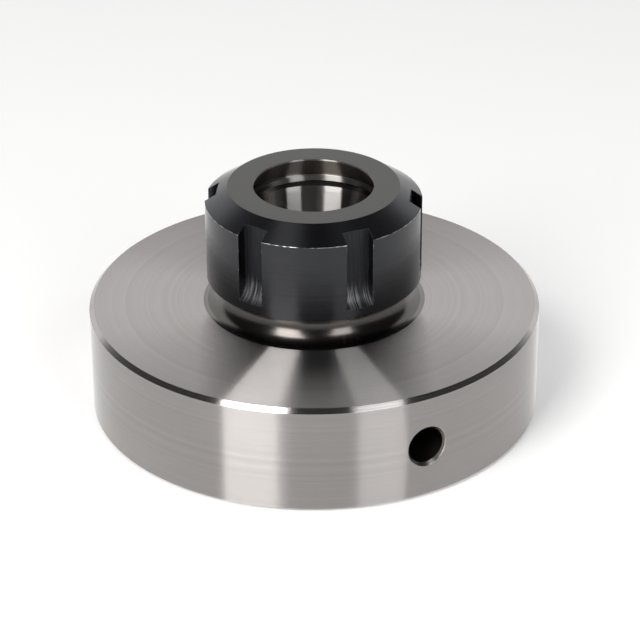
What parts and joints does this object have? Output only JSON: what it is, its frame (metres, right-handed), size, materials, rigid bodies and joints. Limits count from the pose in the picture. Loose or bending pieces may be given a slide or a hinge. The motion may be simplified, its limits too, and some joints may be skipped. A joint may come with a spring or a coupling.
{
  "type": "collet chuck",
  "caption": "Collet chuck with a plain back: a thick ground steel disc with a threaded nose and taper socket, and a black slotted clamping nut.",
  "frame": {"origin": "centre of the disc's back face", "axes": "+Z along the chuck's axis, from the back face towards the nut; -Y towards the tommy bar hole in the rim"},
  "size_m": [0.105, 0.105, 0.055],
  "materials": {
    "ground_steel": "ground and turned, bright",
    "black_oxide_steel": "black oxide, satin"
  },
  "bodies": {
    "chuck": {"chuck_body": "ground_steel"},
    "nut": {"clamping_nut": "black_oxide_steel"}
  },
  "joints": [
    {"name": "nut_turn", "type": "hinge", "parent": "chuck", "child": "nut", "pos_m": [0, 0, 0.04], "axis": [0, 0, 1], "range_deg": [0, 3216]}
  ]
}
